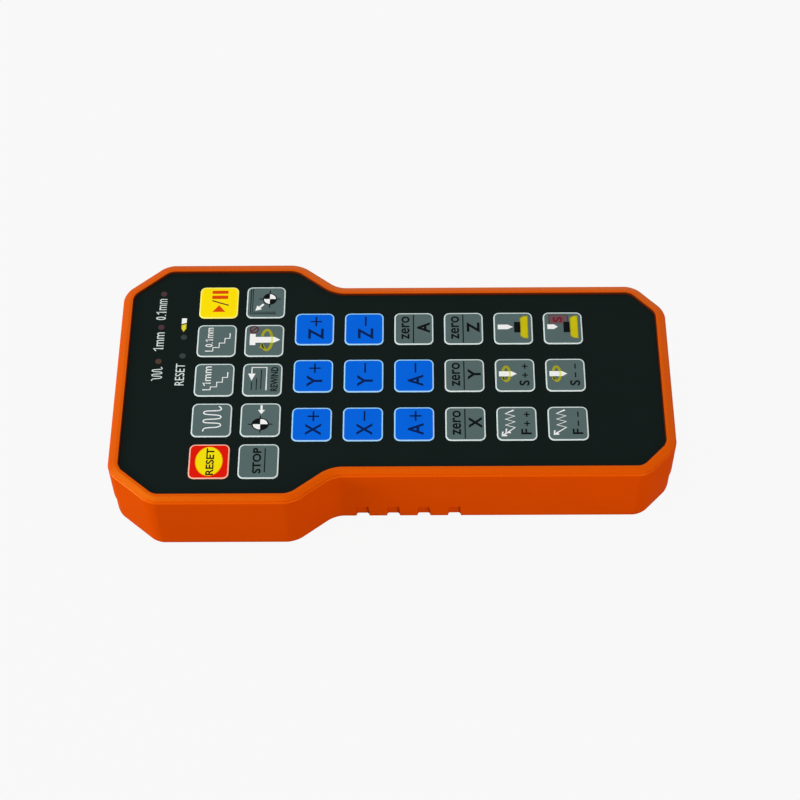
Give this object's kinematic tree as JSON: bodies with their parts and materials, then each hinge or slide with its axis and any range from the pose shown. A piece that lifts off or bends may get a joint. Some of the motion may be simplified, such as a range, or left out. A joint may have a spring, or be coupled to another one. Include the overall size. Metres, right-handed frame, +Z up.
{
  "type": "machine control keypad",
  "caption": "Hand-held wireless control keypad for a CNC machine: T-shaped moulded case with a wide head, a narrower grip, and a recessed face of printed short-stroke keys.",
  "frame": {"origin": "centre of the bounding box's base, on the case's flat underside", "axes": "+X from the head end to the grip's tail, +Z up out of the key face, +Y across the case"},
  "size_m": [0.192, 0.1002, 0.03],
  "materials": {
    "front_shell": "satin moulded orange ABS",
    "back_shell": "satin moulded orange ABS",
    "battery_cover": "satin moulded orange ABS",
    "case_seal": "matt silicone",
    "case_screws": "zinc plated",
    "board_screws": "zinc plated",
    "battery_cover_screws": "zinc plated",
    "graphic_overlay": "printed polyester film, satin black",
    "adhesive_spacer": "clear film",
    "keypad_board": "green solder mask",
    "key_switches": "black moulding",
    "light_pipes": "frosted clear acrylic",
    "status_lamps": "white lamp package",
    "main_controller": "black epoxy package",
    "radio_module": "tinned shield can",
    "radio_antenna": "white ceramic",
    "quartz_crystal": "metal can",
    "power_regulator": "black epoxy package",
    "battery_cells": "plain wrapped cell",
    "battery_contacts": "nickel plated",
    "battery_bridge": "nickel plated",
    "battery_springs": "nickel plated wire",
    "key_reset": "printed polyester film over a moulded plunger",
    "key_continuous_jog": "printed polyester film over a moulded plunger",
    "key_step_one": "printed polyester film over a moulded plunger",
    "key_step_tenth": "printed polyester film over a moulded plunger",
    "key_run_pause": "printed polyester film over a moulded plunger",
    "key_stop": "printed polyester film over a moulded plunger",
    "key_go_to_zero": "printed polyester film over a moulded plunger",
    "key_rewind": "printed polyester film over a moulded plunger",
    "key_spindle": "printed polyester film over a moulded plunger",
    "key_go_home": "printed polyester film over a moulded plunger",
    "key_x_plus": "printed polyester film over a moulded plunger",
    "key_y_plus": "printed polyester film over a moulded plunger",
    "key_z_plus": "printed polyester film over a moulded plunger",
    "key_x_minus": "printed polyester film over a moulded plunger",
    "key_y_minus": "printed polyester film over a moulded plunger",
    "key_z_minus": "printed polyester film over a moulded plunger",
    "key_a_plus": "printed polyester film over a moulded plunger",
    "key_a_minus": "printed polyester film over a moulded plunger",
    "key_a_zero": "printed polyester film over a moulded plunger",
    "key_x_zero": "printed polyester film over a moulded plunger",
    "key_y_zero": "printed polyester film over a moulded plunger",
    "key_z_zero": "printed polyester film over a moulded plunger",
    "key_feed_up": "printed polyester film over a moulded plunger",
    "key_speed_up": "printed polyester film over a moulded plunger",
    "key_probe": "printed polyester film over a moulded plunger",
    "key_feed_down": "printed polyester film over a moulded plunger",
    "key_speed_down": "printed polyester film over a moulded plunger",
    "key_probe_plate": "printed polyester film over a moulded plunger"
  },
  "bodies": {
    "case": {"front_shell": "front_shell", "back_shell": "back_shell", "battery_cover": "battery_cover", "case_seal": "case_seal", "case_screws": "case_screws", "board_screws": "board_screws", "battery_cover_screws": "battery_cover_screws", "graphic_overlay": "graphic_overlay", "adhesive_spacer": "adhesive_spacer", "keypad_board": "keypad_board", "key_switches": "key_switches", "light_pipes": "light_pipes", "status_lamps": "status_lamps", "main_controller": "main_controller", "radio_module": "radio_module", "radio_antenna": "radio_antenna", "quartz_crystal": "quartz_crystal", "power_regulator": "power_regulator", "battery_cells": "battery_cells", "battery_contacts": "battery_contacts", "battery_bridge": "battery_bridge", "battery_springs": "battery_springs"},
    "key_reset_body": {"key_reset": "key_reset"},
    "key_continuous_jog_body": {"key_continuous_jog": "key_continuous_jog"},
    "key_step_one_body": {"key_step_one": "key_step_one"},
    "key_step_tenth_body": {"key_step_tenth": "key_step_tenth"},
    "key_run_pause_body": {"key_run_pause": "key_run_pause"},
    "key_stop_body": {"key_stop": "key_stop"},
    "key_go_to_zero_body": {"key_go_to_zero": "key_go_to_zero"},
    "key_rewind_body": {"key_rewind": "key_rewind"},
    "key_spindle_body": {"key_spindle": "key_spindle"},
    "key_go_home_body": {"key_go_home": "key_go_home"},
    "key_x_plus_body": {"key_x_plus": "key_x_plus"},
    "key_y_plus_body": {"key_y_plus": "key_y_plus"},
    "key_z_plus_body": {"key_z_plus": "key_z_plus"},
    "key_x_minus_body": {"key_x_minus": "key_x_minus"},
    "key_y_minus_body": {"key_y_minus": "key_y_minus"},
    "key_z_minus_body": {"key_z_minus": "key_z_minus"},
    "key_a_plus_body": {"key_a_plus": "key_a_plus"},
    "key_a_minus_body": {"key_a_minus": "key_a_minus"},
    "key_a_zero_body": {"key_a_zero": "key_a_zero"},
    "key_x_zero_body": {"key_x_zero": "key_x_zero"},
    "key_y_zero_body": {"key_y_zero": "key_y_zero"},
    "key_z_zero_body": {"key_z_zero": "key_z_zero"},
    "key_feed_up_body": {"key_feed_up": "key_feed_up"},
    "key_speed_up_body": {"key_speed_up": "key_speed_up"},
    "key_probe_body": {"key_probe": "key_probe"},
    "key_feed_down_body": {"key_feed_down": "key_feed_down"},
    "key_speed_down_body": {"key_speed_down": "key_speed_down"},
    "key_probe_plate_body": {"key_probe_plate": "key_probe_plate"}
  },
  "joints": [
    {"name": "key_reset_press", "type": "slide", "parent": "case", "child": "key_reset_body", "axis": [0, 0, -1], "range_m": [0, 0.0004], "stiffness_N_per_m": 2000, "springref_m": -0.0003},
    {"name": "key_continuous_jog_press", "type": "slide", "parent": "case", "child": "key_continuous_jog_body", "axis": [0, 0, -1], "range_m": [0, 0.0004], "stiffness_N_per_m": 2000, "springref_m": -0.0003},
    {"name": "key_step_one_press", "type": "slide", "parent": "case", "child": "key_step_one_body", "axis": [0, 0, -1], "range_m": [0, 0.0004], "stiffness_N_per_m": 2000, "springref_m": -0.0003},
    {"name": "key_step_tenth_press", "type": "slide", "parent": "case", "child": "key_step_tenth_body", "axis": [0, 0, -1], "range_m": [0, 0.0004], "stiffness_N_per_m": 2000, "springref_m": -0.0003},
    {"name": "key_run_pause_press", "type": "slide", "parent": "case", "child": "key_run_pause_body", "axis": [0, 0, -1], "range_m": [0, 0.0004], "stiffness_N_per_m": 2000, "springref_m": -0.0003},
    {"name": "key_stop_press", "type": "slide", "parent": "case", "child": "key_stop_body", "axis": [0, 0, -1], "range_m": [0, 0.0004], "stiffness_N_per_m": 2000, "springref_m": -0.0003},
    {"name": "key_go_to_zero_press", "type": "slide", "parent": "case", "child": "key_go_to_zero_body", "axis": [0, 0, -1], "range_m": [0, 0.0004], "stiffness_N_per_m": 2000, "springref_m": -0.0003},
    {"name": "key_rewind_press", "type": "slide", "parent": "case", "child": "key_rewind_body", "axis": [0, 0, -1], "range_m": [0, 0.0004], "stiffness_N_per_m": 2000, "springref_m": -0.0003},
    {"name": "key_spindle_press", "type": "slide", "parent": "case", "child": "key_spindle_body", "axis": [0, 0, -1], "range_m": [0, 0.0004], "stiffness_N_per_m": 2000, "springref_m": -0.0003},
    {"name": "key_go_home_press", "type": "slide", "parent": "case", "child": "key_go_home_body", "axis": [0, 0, -1], "range_m": [0, 0.0004], "stiffness_N_per_m": 2000, "springref_m": -0.0003},
    {"name": "key_x_plus_press", "type": "slide", "parent": "case", "child": "key_x_plus_body", "axis": [0, 0, -1], "range_m": [0, 0.0004], "stiffness_N_per_m": 2000, "springref_m": -0.0003},
    {"name": "key_y_plus_press", "type": "slide", "parent": "case", "child": "key_y_plus_body", "axis": [0, 0, -1], "range_m": [0, 0.0004], "stiffness_N_per_m": 2000, "springref_m": -0.0003},
    {"name": "key_z_plus_press", "type": "slide", "parent": "case", "child": "key_z_plus_body", "axis": [0, 0, -1], "range_m": [0, 0.0004], "stiffness_N_per_m": 2000, "springref_m": -0.0003},
    {"name": "key_x_minus_press", "type": "slide", "parent": "case", "child": "key_x_minus_body", "axis": [0, 0, -1], "range_m": [0, 0.0004], "stiffness_N_per_m": 2000, "springref_m": -0.0003},
    {"name": "key_y_minus_press", "type": "slide", "parent": "case", "child": "key_y_minus_body", "axis": [0, 0, -1], "range_m": [0, 0.0004], "stiffness_N_per_m": 2000, "springref_m": -0.0003},
    {"name": "key_z_minus_press", "type": "slide", "parent": "case", "child": "key_z_minus_body", "axis": [0, 0, -1], "range_m": [0, 0.0004], "stiffness_N_per_m": 2000, "springref_m": -0.0003},
    {"name": "key_a_plus_press", "type": "slide", "parent": "case", "child": "key_a_plus_body", "axis": [0, 0, -1], "range_m": [0, 0.0004], "stiffness_N_per_m": 2000, "springref_m": -0.0003},
    {"name": "key_a_minus_press", "type": "slide", "parent": "case", "child": "key_a_minus_body", "axis": [0, 0, -1], "range_m": [0, 0.0004], "stiffness_N_per_m": 2000, "springref_m": -0.0003},
    {"name": "key_a_zero_press", "type": "slide", "parent": "case", "child": "key_a_zero_body", "axis": [0, 0, -1], "range_m": [0, 0.0004], "stiffness_N_per_m": 2000, "springref_m": -0.0003},
    {"name": "key_x_zero_press", "type": "slide", "parent": "case", "child": "key_x_zero_body", "axis": [0, 0, -1], "range_m": [0, 0.0004], "stiffness_N_per_m": 2000, "springref_m": -0.0003},
    {"name": "key_y_zero_press", "type": "slide", "parent": "case", "child": "key_y_zero_body", "axis": [0, 0, -1], "range_m": [0, 0.0004], "stiffness_N_per_m": 2000, "springref_m": -0.0003},
    {"name": "key_z_zero_press", "type": "slide", "parent": "case", "child": "key_z_zero_body", "axis": [0, 0, -1], "range_m": [0, 0.0004], "stiffness_N_per_m": 2000, "springref_m": -0.0003},
    {"name": "key_feed_up_press", "type": "slide", "parent": "case", "child": "key_feed_up_body", "axis": [0, 0, -1], "range_m": [0, 0.0004], "stiffness_N_per_m": 2000, "springref_m": -0.0003},
    {"name": "key_speed_up_press", "type": "slide", "parent": "case", "child": "key_speed_up_body", "axis": [0, 0, -1], "range_m": [0, 0.0004], "stiffness_N_per_m": 2000, "springref_m": -0.0003},
    {"name": "key_probe_press", "type": "slide", "parent": "case", "child": "key_probe_body", "axis": [0, 0, -1], "range_m": [0, 0.0004], "stiffness_N_per_m": 2000, "springref_m": -0.0003},
    {"name": "key_feed_down_press", "type": "slide", "parent": "case", "child": "key_feed_down_body", "axis": [0, 0, -1], "range_m": [0, 0.0004], "stiffness_N_per_m": 2000, "springref_m": -0.0003},
    {"name": "key_speed_down_press", "type": "slide", "parent": "case", "child": "key_speed_down_body", "axis": [0, 0, -1], "range_m": [0, 0.0004], "stiffness_N_per_m": 2000, "springref_m": -0.0003},
    {"name": "key_probe_plate_press", "type": "slide", "parent": "case", "child": "key_probe_plate_body", "axis": [0, 0, -1], "range_m": [0, 0.0004], "stiffness_N_per_m": 2000, "springref_m": -0.0003}
  ]
}
